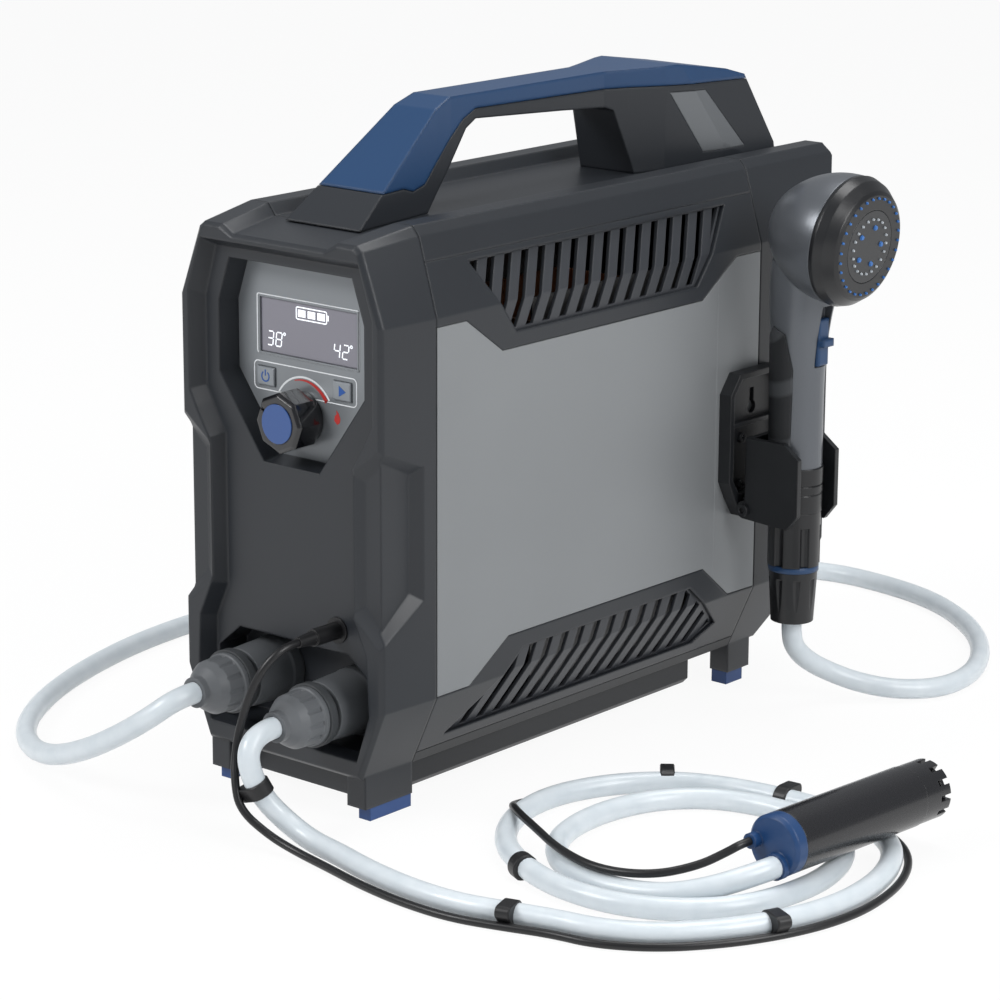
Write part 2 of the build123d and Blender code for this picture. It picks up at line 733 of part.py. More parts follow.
def build_bracket_screws():
    screws = []
    for z in BRACKET_SCREW_Z:
        shank = rod_x(BRACKET_SCREW_Y, z, SCREW_R, HALF_W - 10, HALF_W + 3)
        head = rod_x(BRACKET_SCREW_Y, z, SCREW_R + 1.8, HALF_W + 3, HALF_W + 5)
        cross = Pos(HALF_W + 5, BRACKET_SCREW_Y, z)
        head -= cross * Box(2, 4.0, 0.9) + cross * Box(2, 0.9, 4.0)
        screws.append(shank + head)
    return Compound(children=screws)


def build_fork():
    web_x = HAND_X - GRIP_RX - FORK_GAP
    half = GRIP_RY + FORK_GAP
    outline = [(web_x - FORK_T, 186), (HAND_X + 6, 186), (HAND_X + 18, 177), (HAND_X + 18, 139),
               (HAND_X + 10, 129), (web_x - FORK_T, 131)]
    fork = prism_y(outline, HAND_Y - half - FORK_T, HAND_Y + half + FORK_T)
    fork -= block((web_x, HAND_X + 30), (HAND_Y - half, HAND_Y + half), (100, 200))
    fork -= block((60, web_x - FORK_T + 0.01), (0, 200), (100, 200))
    for side in (-1, 1):
        y = HAND_Y + side * (half + FORK_T / 2)
        arm = block((PIVOT_X, web_x), (y - FORK_T / 2, y + FORK_T / 2), (131, 143))
        arm += rod_y(PIVOT_X, PIVOT_Z, 6, y - FORK_T / 2, y + FORK_T / 2)
        fork += arm
    fork -= rod_y(PIVOT_X, PIVOT_Z, PIVOT_R + PIVOT_FIT, HAND_Y - 60, HAND_Y + 60)
    fork -= block((web_x - FORK_T - 20, PIVOT_X + 6.4), (HAND_Y - 16.6, HAND_Y + 16.6), (120, 145))
    return fork


def build_fork_screw():
    half = GRIP_RY + FORK_GAP + FORK_T
    screw = rod_y(PIVOT_X, PIVOT_Z, PIVOT_R, HAND_Y - half, HAND_Y + half)
    head = rod_y(PIVOT_X, PIVOT_Z, 4.2, HAND_Y - half - 2.6, HAND_Y - half)
    nut = rod_y(PIVOT_X, PIVOT_Z, 4.0, HAND_Y + half, HAND_Y + half + 3)
    socket = Pos(PIVOT_X, HAND_Y - half - 2.6, PIVOT_Z) * Rot(90, 0, 0)
    return screw + head + nut - socket * extrude(RegularPolygon(2.2, 6), amount=1.8, both=True)


# Handset: neck and dome head, grip sleeve with side pads, turning ring, nozzle face, slider
head_plane = Plane(
    origin=(HEAD_X, HAND_Y, HEAD_Z),
    x_dir=(0, 1, 0),
    z_dir=(math.cos(math.radians(HEAD_TILT)), 0, -math.sin(math.radians(HEAD_TILT))),
)


def ellipse_at(x, z, rx, ry):
    return Pos(x, HAND_Y, z) * Ellipse(rx, ry)


SLIDER_Z = (237.0, 268.0)
SLIDER_TRAVEL = 8.0
SLIDER_X = HAND_X + 17.6


def build_neck():
    return loft(
        [
            ellipse_at(HAND_X, 138, 16.6, 15.6),
            ellipse_at(HAND_X, 170, 17.6, 16.6),
            ellipse_at(HAND_X, 245, GRIP_RX, GRIP_RY),
            ellipse_at(HAND_X + 2, 280, 22, 21),
            ellipse_at(HAND_X + 8, 306, 24, 27),
        ]
    )


def build_handset_body():
    neck = build_neck()
    half = math.sqrt(0.5)
    dome_line = Spline(
        (0, -BOWL_DEPTH),
        (HEAD_R * half, -BOWL_DEPTH * half),
        (HEAD_R, 0),
        tangents=[(1, 0), (0, 1)],
    )
    bowl_face = make_face([dome_line, Line((HEAD_R, 0), (0, 0)), Line((0, 0), (0, -BOWL_DEPTH))])
    bowl = revolve(Plane.XZ * bowl_face, axis=Axis.Z)
    body = neck + head_plane * bowl
    # Track for the slider on the front of the neck
    body -= block((SLIDER_X - 2.4, SLIDER_X + 30), (HAND_Y - 5.8, HAND_Y + 5.8),
                  (SLIDER_Z[0] - 1, SLIDER_Z[1] + SLIDER_TRAVEL + 1))
    body -= head_plane * Pos(0, 0, -9.8) * Cylinder(STEM_R, 20)
    body -= rod_z(HAND_X, HAND_Y, 5, 130, 290)
    return body


def build_grip():
    sleeve = loft([ellipse_at(HAND_X, 138, 18.0, 17.2), ellipse_at(HAND_X, 168, GRIP_RX, GRIP_RY)])
    sleeve -= build_neck()
    for z in (150, 156):
        ring = Pos(HAND_X, HAND_Y, z) * extrude(Ellipse(22, 21) - Ellipse(17.9, 17.0), amount=1.0)
        sleeve -= ring
    return sleeve


def build_side_pads():
    outline = [(-13, 169), (6, 169), (7, 235), (2, 258), (-8, 262), (-13, 255)]
    shape = prism_y([(HAND_X + x, z) for x, z in outline], HAND_Y - 30, HAND_Y + 30)
    skin = loft([ellipse_at(HAND_X, 168, 18.8, 18.4), ellipse_at(HAND_X, 264, 20.6, 19.6)])
    return (shape & skin) - build_neck()


def build_spray():
    bore = STEM_R + STEM_FIT
    back = [(bore, 0.3), (HEAD_R, 0.3), (HEAD_R + 0.5, 3.0), (HEAD_R - 1.5, 9.0),
            (HEAD_R - 6.5, RING_T - 1.5), (HEAD_R - 9.0, RING_T), (24.0, RING_T), (24.0, 12.0),
            (bore, 12.0)]
    ring = revolve(make_face(Polyline([(r, 0, h) for r, h in back], close=True)), axis=Axis.Z)
    face = Cylinder(23.7, RING_T - 12.3)
    face = Pos(0, 0, 12.3 + (RING_T - 12.3) / 2) * face
    stem = Pos(0, 0, (12.3 - 15) / 2) * Cylinder(STEM_R, 12.3 + 15)
    return head_plane * ring, head_plane * (face + stem)


def build_slider():
    plate = block((SLIDER_X - 2.2, SLIDER_X + 2.2), (HAND_Y - 5.4, HAND_Y + 5.4), SLIDER_Z)
    plate = chamfer(plate.faces().sort_by(Axis.X)[-1].edges(), 0.8)
    tab_z = SLIDER_Z[0] + 13
    tab = block((SLIDER_X, SLIDER_X + 6), (HAND_Y - 5.4, HAND_Y + 5.4), (tab_z, tab_z + 5))
    return plate + tab


def build_coupling():
    shape = rod_z(HAND_X, HAND_Y, 17.4, 101, 138)
    flutes = []
    for i in range(6):
        angle = math.radians(30 + 60 * i)
        x = HAND_X + 18.6 * math.cos(angle)
        y = HAND_Y + 18.6 * math.sin(angle)
        flutes.append(rod_z(x, y, 3.6, 100, 128))
    shape -= Compound(children=flutes)
    return shape - rod_z(HAND_X, HAND_Y, 5, 100, 139)


def build_coupling_ring():
    return rod_z(HAND_X, HAND_Y, 16.8, 97, 101) - rod_z(HAND_X, HAND_Y, 6, 96, 102)


def build_handset_nut():
    shape = Pos(HAND_X, HAND_Y, 79.5) * Rot(180, 0, 0) * Cone(16.2, 14.2, 35)
    flutes = []
    for i in range(8):
        angle = math.radians(45 * i)
        x = HAND_X + 17.6 * math.cos(angle)
        y = HAND_Y + 17.6 * math.sin(angle)
        flutes.append(rod_z(x, y, 3.0, 66, 92))
    shape -= Compound(children=flutes)
    return shape - rod_z(HAND_X, HAND_Y, HOSE_D / 2, 70, 98)


# Pump: blue end cap with barb and gland, barrel and slotted strainer, along its own +Y
def pump_place(shape):
    return Pos(PUMP_X, PUMP_Y, PUMP_Z) * Rot(0, 0, PUMP_YAW) * shape


PUMP_Z = HOSE_D + 0.15 + PUMP_R
BARB = (4.5, -10.4)
GLAND = (-12.4, 1.5)
COLLAR_L = 4.0
GLAND_L = 6.0


def build_pump():
    body = rod_y(0, 0, PUMP_R, PUMP_CAP_L, PUMP_L - STRAINER_L)
    cap = rod_y(0, 0, PUMP_R, 0, PUMP_CAP_L)
    cap = chamfer(cap.faces().sort_by(Axis.Y)[0].edges(), 2.0)
    cap += rod_y(BARB[0], BARB[1], HOSE_D / 2 + 1.2, -COLLAR_L, 1)
    cap += rod_y(GLAND[0], GLAND[1], 4.6, -GLAND_L, 1)
    strainer = rod_y(0, 0, PUMP_R - 0.4, PUMP_L - STRAINER_L, PUMP_L)
    strainer -= rod_y(0, 0, PUMP_R - 3, PUMP_L - STRAINER_L + 3, PUMP_L - 3)
    slots = []
    for i in range(12):
        slot = Rot(0, i * 30, 0) * Pos(PUMP_R, PUMP_L - 4, 0) * Box(9, 10, 3.4)
        slots.append(slot)
    strainer -= Compound(children=slots)
    return pump_place(body), pump_place(cap), pump_place(strainer)


# Cords: straight runs joined by tangent arcs
def cord(name, points, d):
    radii = []
    for a, b, c in zip(points, points[1:], points[2:]):
        u = Vector(*b) - Vector(*a)
        v = Vector(*c) - Vector(*b)
        turn = u.get_angle(v)
        run = min(u.length, v.length)
        radii.append(0.45 * run / math.tan(math.radians(turn) / 2))
    path = FilletPolyline(*points, radius=radii)
    start = Plane(origin=path @ 0, z_dir=path % 0)
    tube = sweep(start * Circle(d / 2), path=path)
    ideal = path.length * math.pi * d * d / 4
    print(name, "length", round(path.length), "radii", [round(r) for r in radii],
          "volume ratio", round(tube.volume / ideal, 3))
    return tube


R_H = HOSE_D / 2
PUMP_HOSE = [
    (PORT_X, port_exit_y, PUMP_PORT_Z), (PORT_X, -289, PUMP_PORT_Z), (34, -300, 58),
    (37, -300, 43), (43, -294, 27), (55, -287, 14), (73, -286, R_H), (98, -291, R_H),
    (130, -300, R_H), (168, -306, R_H), (205, -306, R_H), (236, -297, R_H), (262, -284, R_H),
]
SHOWER_HOSE = [
    (-PORT_X, port_exit_y, SHOWER_PORT_Z), (-PORT_X, -291, SHOWER_PORT_Z), (-47, -303, 61), (-70, -306, 46),
    (-102, -304, 29), (-138, -297, 15), (-172, -284, 8), (-203, -264, R_H), (-230, -234, R_H),
    (-256, -190, R_H), (-277, -137, R_H), (-293, -75, R_H), (-299, -5, R_H), (-286, 70, R_H),
    (-250, 160, R_H), (-192, 250, R_H), (-120, 325, R_H),
]
SHOWER_TAIL = [
    (-120, 325, R_H), (-76.8, 370, R_H), (-30, 393, R_H), (20, 391, R_H), (66, 380, R_H),
    (108, 356, R_H), (144, 324, R_H), (172, 285, R_H), (189, 245, R_H), (190, 208, R_H),
    (172, 182, 8), (152, 167, 12), (136, 153, 20), (128, 138, 30), (HAND_X, 127, 41),
    (HAND_X, HAND_Y, 51), (HAND_X, HAND_Y, 61.8),
]
HOSE_TAIL = [
    (262, -229, R_H), (290, -224, 9), (312, -208, 15),
]
PUMP_CABLE = [
    (DC_X, face_y - 35, DC_Z), (DC_X, -270, DC_Z), (32, -281, 107), (26, -287, 92),
    (21, -291, 73), (20, -296, 54), (26, -303, 38), (34, -307, 23), (53, -302, 10),
    (74, -300, 4), (102, -304, 2.7), (135, -312, 2.7), (170, -317, 2.7), (207, -317, 2.7),
    (238, -308, 2.7), (264, -295, 2.7),
]
CABLE_TAIL = [
    (150, -175, 16.3), (175, -202, 16.3), (207, -220, 16.3), (245, -230, 16.3),
    (277, -222, 17), (296, -203, 21), (306, -186, 29),
]


def build_coil():
    outer = Ellipse(129.5, 133)
    inner = Pos(-11, 22, 0) * Ellipse(58, 76)
    ring = extrude(Pos(246.5, -166.5, 0) * (outer - inner), amount=HOSE_D)
    return chamfer(ring.edges(), 2.5)


# Clips hold the cable to the hose: one on the free run, the others over the coiled turns
def build_clips():
    clip_z = (HOSE_D, HOSE_D + 1.4)
    clips = []
    for x, y, turn in ((255, -290, 5), (150, -92, 55), (338, -228, 35), (170, -243, -40)):
        band = block((-3.5, 3.5), (-8, 8), clip_z)
        band += block((-3.5, 3.5), (-2.5, 2.5), (clip_z[1], clip_z[1] + 1.2))
        clips.append(Pos(x, y, 0) * Rot(0, 0, turn) * band)
    middle = Vector(40, -297, 35)
    along = Vector(6, 6, -16)
    to_cable = Vector(-9, -4, -2)
    place = Plane(origin=middle, x_dir=to_cable, z_dir=along)
    ring = Cylinder(HOSE_D / 2 + 1.8, 7) - Cylinder(HOSE_D / 2 + 0.3, 8)
    clips.append(place * ring)
    return Compound(children=clips)


def barb_point(back):
    a = math.radians(PUMP_YAW)
    x = BARB[0] * math.cos(a) + back * math.sin(a)
    y = BARB[0] * math.sin(a) - back * math.cos(a)
    return (PUMP_X + x, PUMP_Y + y, PUMP_Z + BARB[1])


def gland_point(back):
    a = math.radians(PUMP_YAW)
    x = GLAND[0] * math.cos(a) + back * math.sin(a)
    y = GLAND[0] * math.sin(a) - back * math.cos(a)
    return (PUMP_X + x, PUMP_Y + y, PUMP_Z + GLAND[1])


# Every sub-part by name
nodes = {}
nodes["front_cap"] = build_front_cap()
nodes["rear_cap"] = build_rear_cap()
nodes["top_cover"] = build_top_cover()
side_shell = build_side_shell()
nodes["right_side_shell"] = side_shell
nodes["left_side_shell"] = mirror_x(side_shell)
panel = build_panel()
nodes["right_panel"] = panel
nodes["left_panel"] = mirror_x(panel)
for name, vent in (("upper", UPPER_VENT), ("lower", LOWER_VENT)):
    grille = build_grille(vent)
    nodes[f"{name}_grilles"] = Compound(children=[grille, mirror_x(grille)])
nodes["base_tray"] = build_base_tray()
core, cap, insert_r, insert_l = build_handle()
nodes["handle"] = core
nodes["handle_cap"] = cap
nodes["handle_inserts"] = Compound(children=[insert_r, insert_l])
nodes["feet"] = build_feet()
nodes["lcd_glass"], lcd_frame = build_lcd()
nodes["control_panel"] = build_control_panel() + lcd_frame
nodes["power_button"] = build_button(POWER_X)
nodes["start_button"] = build_button(START_X)
nodes["knob"], nodes["knob_badge"], nodes["knob_spindle"] = build_knob()
nodes["gas_regulator"] = build_regulator()
nodes["control_board"] = build_board()
places = [(-PORT_X, SHOWER_PORT_Z), (PORT_X, PUMP_PORT_Z)]
nodes["hose_ports"] = Compound(children=[build_port(x, z) for x, z in places])
nodes["shower_port_sleeve"] = build_sleeve(*places[0])
nodes["pump_port_sleeve"] = build_sleeve(*places[1])
nodes["hose_nuts"] = Compound(children=[build_hose_nut(x, z) for x, z in places])
nodes["dc_socket"], nodes["dc_plug"] = build_dc()
nodes["chassis"] = build_chassis()
nodes["heat_exchanger"] = build_exchanger()
nodes["burner"] = build_burner()
nodes["battery_pack"] = build_battery()
nodes["water_pipes"] = build_water_pipes()
nodes["gas_pipes"], nodes["gas_inlet"] = build_gas_line()
nodes["holder_bracket"] = build_bracket()
nodes["bracket_screws"] = build_bracket_screws()
nodes["holder_fork"] = build_fork()
nodes["fork_screw"] = build_fork_screw()
nodes["handset_body"] = build_handset_body()
nodes["handset_grip"] = build_grip()
nodes["handset_pads"] = build_side_pads()
nodes["spray_ring"], nodes["nozzle_plate"] = build_spray()
nodes["flow_slider"] = build_slider()
nodes["handset_coupling"] = build_coupling()
nodes["coupling_ring"] = build_coupling_ring()
nodes["handset_nut"] = build_handset_nut()
nodes["pump_body"], nodes["pump_cap"], nodes["pump_strainer"] = build_pump()
nodes["pump_hose"] = cord("pump_hose", PUMP_HOSE, HOSE_D)
nodes["hose_coil"] = build_coil()
nodes["pump_hose_tail"] = cord("pump_hose_tail", HOSE_TAIL + [barb_point(13), barb_point(COLLAR_L)],
                               HOSE_D)
nodes["shower_hose"] = cord("shower_hose", SHOWER_HOSE, HOSE_D)
nodes["shower_hose_tail"] = cord("shower_hose_tail", SHOWER_TAIL, HOSE_D)
nodes["hose_clips"] = build_clips()
nodes["pump_cable"] = cord("pump_cable", PUMP_CABLE, CABLE_D)
nodes["pump_cable_tail"] = cord("pump_cable_tail", CABLE_TAIL + [gland_point(15), gland_point(GLAND_L)], CABLE_D)

for name, shape in nodes.items():
    export_step(shape, f"parts/{name}.step")
print(len(nodes), "nodes written")
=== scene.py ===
import bpy
import bmesh
import math
from mathutils import Matrix, Vector


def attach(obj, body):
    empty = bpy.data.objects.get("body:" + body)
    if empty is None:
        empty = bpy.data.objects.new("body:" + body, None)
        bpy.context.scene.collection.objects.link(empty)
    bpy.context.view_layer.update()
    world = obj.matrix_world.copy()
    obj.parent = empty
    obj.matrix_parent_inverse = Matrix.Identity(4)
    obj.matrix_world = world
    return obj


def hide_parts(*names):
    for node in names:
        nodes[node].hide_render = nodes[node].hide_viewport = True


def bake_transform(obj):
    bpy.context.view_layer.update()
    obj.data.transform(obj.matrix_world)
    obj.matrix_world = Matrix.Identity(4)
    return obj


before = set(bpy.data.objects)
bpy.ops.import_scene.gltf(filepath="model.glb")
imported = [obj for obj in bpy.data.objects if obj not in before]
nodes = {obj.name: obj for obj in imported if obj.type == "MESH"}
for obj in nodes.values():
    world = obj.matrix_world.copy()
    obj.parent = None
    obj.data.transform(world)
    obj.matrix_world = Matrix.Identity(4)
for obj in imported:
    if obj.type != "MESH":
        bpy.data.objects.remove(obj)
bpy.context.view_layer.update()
scene = bpy.context.scene
scene.view_settings.view_transform = "Standard"


# Studio: pale floor and surround that read white to the camera, with three soft lamps.
# The camera stands where the photograph was taken.
CAMERA_PLACE = (1.42616, -1.71069, 0.73696)
CAMERA_RIGHT = (0.76181427, 0.64778054, 0.0044029)
CAMERA_UP = (-0.16939564, 0.19264618, 0.96653638)
CAMERA_BACK = (0.62525526, -0.73706704, 0.25649181)
CAMERA_LENS = 126.676
LAMP_TARGET = (0.05, 0, 0.2)
AIR_LEVEL = 0.36
FLOOR_HALF = 6
FLOOR_WHITE = 0.93


class Sock:
    def __init__(self, paint, socket):
        self.paint = paint
        self.socket = socket

    def sum(self, kind, a, b):
        return self.paint.node("ShaderNodeMath", {0: a, 1: b}, operation=kind)

    def __add__(self, other):
        return self.sum("ADD", self, other)

    def __radd__(self, other):
        return self.sum("ADD", other, self)

    def __sub__(self, other):
        return self.sum("SUBTRACT", self, other)

    def __mul__(self, other):
        return self.sum("MULTIPLY", self, other)


class Paint:
    def __init__(self, tree):
        self.tree = tree
        tree.nodes.clear()

    def node(self, kind, inputs=None, out=0, stops=None, **settings):
        made = self.tree.nodes.new(kind)
        for name, value in settings.items():
            setattr(made, name, value)
        if stops:
            ramp = made.color_ramp
            while len(ramp.elements) < len(stops):
                ramp.elements.new(0.5)
            for element, (place, level) in zip(ramp.elements, stops):
                element.position = place
                element.color = (level, level, level, 1)
        for name, value in (inputs or {}).items():
            if isinstance(value, Sock):
                self.tree.links.new(value.socket, made.inputs[name])
            else:
                made.inputs[name].default_value = value
        return Sock(self, made.outputs[out])

    def coords(self):
        return self.node("ShaderNodeTexCoord", out=3)

    def noise(self, size, detail):
        inputs = {"Vector": self.coords(), "Scale": 1.0 / size, "Detail": detail}
        return self.node("ShaderNodeTexNoise", inputs)

    def mix_colour(self, share, a, b):
        inputs = {0: share, 6: (*a, 1), 7: (*b, 1)}
        return self.node("ShaderNodeMix", inputs, out=2, data_type="RGBA")

    def surface(self, shader):
        output = self.tree.nodes.new("ShaderNodeOutputMaterial")
        self.tree.links.new(shader.socket, output.inputs[0])


def new_paint(name):
    material = bpy.data.materials.new(name)
    material.use_nodes = True
    return material, Paint(material.node_tree)


world = bpy.data.worlds.new("studio_air")
scene.world = world
world.use_nodes = True
air = Paint(world.node_tree)
seen = air.node("ShaderNodeLightPath")
lit = air.node("ShaderNodeBackground", {"Color": (0.93, 0.96, 1.0, 1), "Strength": AIR_LEVEL})
white = air.node("ShaderNodeBackground", {"Color": (1, 1, 1, 1), "Strength": 1.0})
air_mix = air.node("ShaderNodeMixShader", {0: seen, 1: lit, 2: white})
air_out = world.node_tree.nodes.new("ShaderNodeOutputWorld")
world.node_tree.links.new(air_mix.socket, air_out.inputs[0])

floor_mesh = bpy.data.meshes.new("floor")
floor_mesh.from_pydata(
    [(-FLOOR_HALF, -FLOOR_HALF, 0), (FLOOR_HALF, -FLOOR_HALF, 0), (FLOOR_HALF, FLOOR_HALF, 0),
     (-FLOOR_HALF, FLOOR_HALF, 0)], [], [(0, 1, 2, 3)]
)
floor = bpy.data.objects.new("floor", floor_mesh)
scene.collection.objects.link(floor)
floor_material, paint = new_paint("floor_white")
matt = paint.node("ShaderNodeBsdfDiffuse", {"Color": (0.9, 0.9, 0.9, 1)})
glow = paint.node("ShaderNodeEmission", {"Color": (1, 1, 1, 1), "Strength": 1.0})
camera_ray = paint.node("ShaderNodeLightPath", out=0)
glossy_ray = paint.node("ShaderNodeLightPath", out=3)
passing_ray = paint.node("ShaderNodeLightPath", out=6)
share = paint.node("ShaderNodeMath", {0: camera_ray + glossy_ray, 1: passing_ray},
                   operation="MAXIMUM", use_clamp=True)
paint.surface(paint.node("ShaderNodeMixShader", {0: share * FLOOR_WHITE, 1: matt, 2: glow}))
floor_mesh.materials.append(floor_material)


def lamp(name, place, width, height, power):
    light = bpy.data.lights.new(name, "AREA")
    light.shape = "RECTANGLE"
    light.size = width
    light.size_y = height
    light.energy = power
    made = bpy.data.objects.new(name, light)
    made.location = place
    aim = Vector(LAMP_TARGET) - Vector(place)
    made.rotation_euler = aim.to_track_quat("-Z", "Y").to_euler()
    scene.collection.objects.link(made)


lamp("key_lamp", (-0.9, -1.9, 1.7), 1.0, 0.9, 34)
lamp("side_lamp", (2.0, -0.2, 1.3), 0.9, 1.2, 27)
lamp("top_lamp", (0.1, 0.5, 2.1), 1.4, 1.0, 22)

camera_data = bpy.data.cameras.new("camera")
camera_data.lens = CAMERA_LENS
camera_data.sensor_width = 36
camera = bpy.data.objects.new("camera", camera_data)
turn = Matrix((CAMERA_RIGHT, CAMERA_UP, CAMERA_BACK)).transposed().to_4x4()
camera.matrix_world = Matrix.Translation(CAMERA_PLACE) @ turn
scene.collection.objects.link(camera)
scene.camera = camera


# Case: injection-moulded charcoal plastic in front and rear caps, top cover, side shells and
# base tray. Its skin has a fine spark-eroded grain and the edges are softly rounded.
GRAIN_DEPTH = 0.00015
CLOUD_SIZE = 0.09


def plastic(name, colour, rough, grain=0.0009, depth=0.25, edge=0.0012, metal=0.0, coat=0.0):
    material, paint = new_paint(name)
    grain_height = paint.noise(grain, 3.0)
    cloud_tone = paint.noise(CLOUD_SIZE, 2.0)
    low = tuple(c * 0.92 for c in colour)
    high = tuple(min(1.0, c * 1.08) for c in colour)
    tone = paint.mix_colour(cloud_tone, low, high)
    rounded = paint.node("ShaderNodeBevel", {"Radius": edge}, samples=6)
    bump = paint.node("ShaderNodeBump", {"Strength": depth, "Distance": GRAIN_DEPTH,
                                         "Height": grain_height, "Normal": rounded})
    inputs = {"Base Color": tone, "Roughness": rough + (grain_height - 0.5) * 0.12,
              "Metallic": metal, "Coat Weight": coat, "Normal": bump}
    paint.surface(paint.node("ShaderNodeBsdfPrincipled", inputs))
    return material


def dress(material, *names):
    for name in names:
        mesh = nodes[name].data
        mesh.materials.clear()
        mesh.materials.append(material)


case_plastic = plastic("case_plastic", (0.017, 0.0198, 0.0245), 0.40, edge=0.0022)
dress(case_plastic, "front_cap", "rear_cap", "top_cover", "right_side_shell", "left_side_shell",
      "handle")
tray_plastic = plastic("tray_plastic", (0.010, 0.0115, 0.014), 0.5)
dress(tray_plastic, "base_tray")


# Side panels: pressed sheet with a silver-grey metallic paint, let into the shells.
# A shallow vertical step is pressed in near the holder.
PANEL_STEP_Y = 0.0885


def panel_paint():
    material, paint = new_paint("panel_silver")
    place = paint.node("ShaderNodeSeparateXYZ", {0: paint.coords()}, out=1)
    flake = paint.noise(0.0005, 1.0)
    cloud_tone = paint.noise(0.12, 2.0)
    tone = paint.mix_colour(cloud_tone * 0.6 + flake * 0.4, (0.225, 0.235, 0.243),
                            (0.285, 0.297, 0.306))
    step = paint.node("ShaderNodeValToRGB", {0: (place - PANEL_STEP_Y) * 400 + 0.5},
                      stops=[(0.35, 0.0), (0.65, 1.0)])
    rounded = paint.node("ShaderNodeBevel", {"Radius": 0.0008}, samples=6)
    flat = paint.node("ShaderNodeBump", {"Strength": 0.35, "Distance": 0.0006, "Height": step,
                                         "Normal": rounded})
    skin = paint.node("ShaderNodeBump", {"Strength": 0.08, "Distance": 0.0001, "Height": flake,
                                         "Normal": flat})
    paint.surface(paint.node("ShaderNodeBsdfPrincipled", {
        "Base Color": tone, "Roughness": 0.42 + flake * 0.08, "Metallic": 0.45,
        "Normal": skin}))
    return material


dress(panel_paint(), "right_panel", "left_panel")


# Grilles: black plastic strips behind the openings, with leaning slots for the air.
# The works that show through the slots are dull sheet steel.
grille_plastic = plastic("grille_plastic", (0.034, 0.037, 0.043), 0.42)
dress(grille_plastic, "upper_grilles", "lower_grilles")
dull_steel = plastic("dull_steel", (0.20, 0.20, 0.20), 0.4, metal=0.9, depth=0.1)
dress(dull_steel, "chassis", "burner", "gas_regulator", "gas_inlet", "knob_spindle")
dress(plastic("copper", (0.42, 0.20, 0.11), 0.35, metal=0.9, depth=0.1), "heat_exchanger",
      "water_pipes", "gas_pipes")
dress(plastic("cell_wrap", (0.015, 0.03, 0.07), 0.4), "battery_pack")
dress(plastic("board_lacquer", (0.01, 0.08, 0.03), 0.35), "control_board")


# Handle: the moulded leg and grip under a blue cap, silver inserts on the rear leg.
# Blue feet of the same plastic are pushed into the four legs.
blue_plastic = plastic("blue_plastic", (0.010, 0.046, 0.125), 0.38, edge=0.003)
dress(blue_plastic, "handle_cap")
dress(plastic("foot_blue", (0.022, 0.070, 0.225), 0.45), "feet")
dress(plastic("insert_silver", (0.17, 0.18, 0.19), 0.35, metal=0.5), "handle_inserts")


# Control panel: a silver-printed plate with the display behind a clear window.
# Printed lines, icons and plain numbers only stand a hair proud of the plate.
DISPLAY_FACE = -208.42
PLATE_FACE = -209.0
BUTTON_FACE = -210.6
PRINT_THICK = 0.15
KNOB_X = -3
KNOB_Z = 239
DIGIT_FOOT_Z = 279.6
POWER_X = -34
BUTTON_Z = 260

panel_silver = plastic("plate_silver", (0.23, 0.245, 0.26), 0.35, metal=0.35, depth=0.05,
                       edge=0.0006)
dress(panel_silver, "control_panel")
dress(plastic("display_glass", (0.185, 0.180, 0.215), 0.12, depth=0.0, coat=0.6), "lcd_glass")
dress(plastic("button_silver", (0.27, 0.29, 0.31), 0.4, metal=0.2, depth=0.05, edge=0.0006),
      "power_button", "start_button")


def piece(name, mesh, material, body):
    mesh.materials.clear()
    mesh.materials.append(material)
    made = bpy.data.objects.new(name, mesh)
    scene.collection.objects.link(made)
    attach(made, body)
    return made


def flat_print(name, outlines, front, material, body):
    shape = bmesh.new()
    for outline in outlines:
        near = [shape.verts.new((x / 1000, (front - PRINT_THICK) / 1000, z / 1000))
                for x, z in outline]
        far = [shape.verts.new((x / 1000, front / 1000, z / 1000)) for x, z in outline]
        shape.faces.new(near)
        shape.faces.new(list(reversed(far)))
        count = len(outline)
        for i in range(count):
            j = (i + 1) % count
            shape.faces.new((near[j], near[i], far[i], far[j]))
    bmesh.ops.recalc_face_normals(shape, faces=shape.faces)
    mesh = bpy.data.meshes.new(name)
    shape.to_mesh(mesh)
    return piece(name, mesh, material, body)


def bar(x0, z0, x1, z1, wide):
    dx, dz = x1 - x0, z1 - z0
    long = math.hypot(dx, dz)
    nx, nz = -dz / long * wide / 2, dx / long * wide / 2
    return [(x0 + nx, z0 + nz), (x1 + nx, z1 + nz), (x1 - nx, z1 - nz), (x0 - nx, z0 - nz)]


def arc_band(cx, cz, r0, r1, from_deg, to_deg, end_r0=None, steps=36):
    inner, outer = [], []
    for i in range(steps + 1):
        t = i / steps
        a = math.radians(from_deg + (to_deg - from_deg) * t)
        low = r0 + ((end_r0 if end_r0 is not None else r0) - r0) * t
        inner.append((cx + low * math.sin(a), cz + low * math.cos(a)))
        outer.append((cx + r1 * math.sin(a), cz + r1 * math.cos(a)))
    quads = []
    for i in range(steps):
        quads.append([inner[i], outer[i], outer[i + 1], inner[i + 1]])
    return quads


def rounded_frame(x0, x1, z0, z1, r, wide):
    quads = [bar(x0 + r, z0, x1 - r, z0, wide), bar(x0 + r, z1, x1 - r, z1, wide),
             bar(x0, z0 + r, x0, z1 - r, wide), bar(x1, z0 + r, x1, z1 - r, wide)]
    for cx, cz, a in ((x1 - r, z1 - r, 0), (x1 - r, z0 + r, 90), (x0 + r, z0 + r, 180),
                      (x0 + r, z1 - r, 270)):
        quads += arc_band(cx, cz, r - wide / 2, r + wide / 2, a, a + 90, steps=6)
    return quads


